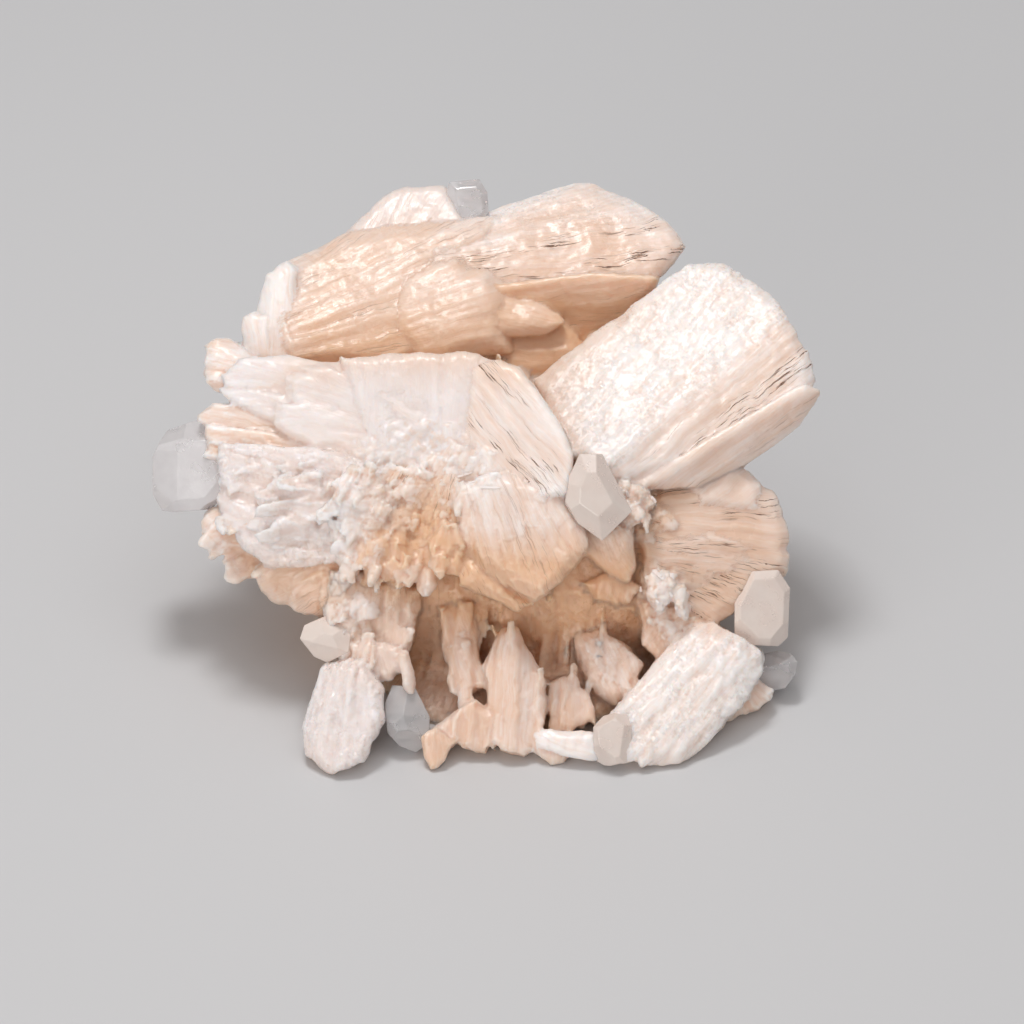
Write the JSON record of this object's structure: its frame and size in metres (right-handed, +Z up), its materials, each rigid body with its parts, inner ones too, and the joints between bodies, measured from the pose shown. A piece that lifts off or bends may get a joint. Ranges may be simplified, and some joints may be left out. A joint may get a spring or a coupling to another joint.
{
  "type": "stilbite with apophyllite specimen",
  "caption": "Cabinet mineral specimen: a cluster of peach and white stilbite blades with clear apophyllite crystals seated in it, resting on its flat broken base.",
  "frame": {"origin": "middle of the bottom of the whole specimen's box, on the surface it rests on", "axes": "+Z up from the rest surface, +X along the specimen's longest side, to the viewer's right, -Y towards the viewer"},
  "size_m": [0.09, 0.0792, 0.0477],
  "materials": {
    "stilbite": "pearly, translucent, finely striated",
    "apophyllite": "glassy, clear to milky"
  },
  "bodies": {
    "root": {"stilbite_cluster": "stilbite", "apophyllite_pyramid": "apophyllite", "apophyllite_left_block": "apophyllite", "apophyllite_top_block": "apophyllite", "apophyllite_right_tab": "apophyllite", "apophyllite_right_prism": "apophyllite", "apophyllite_lower_left": "apophyllite", "apophyllite_front_left": "apophyllite", "apophyllite_front_right": "apophyllite"}
  },
  "joints": []
}
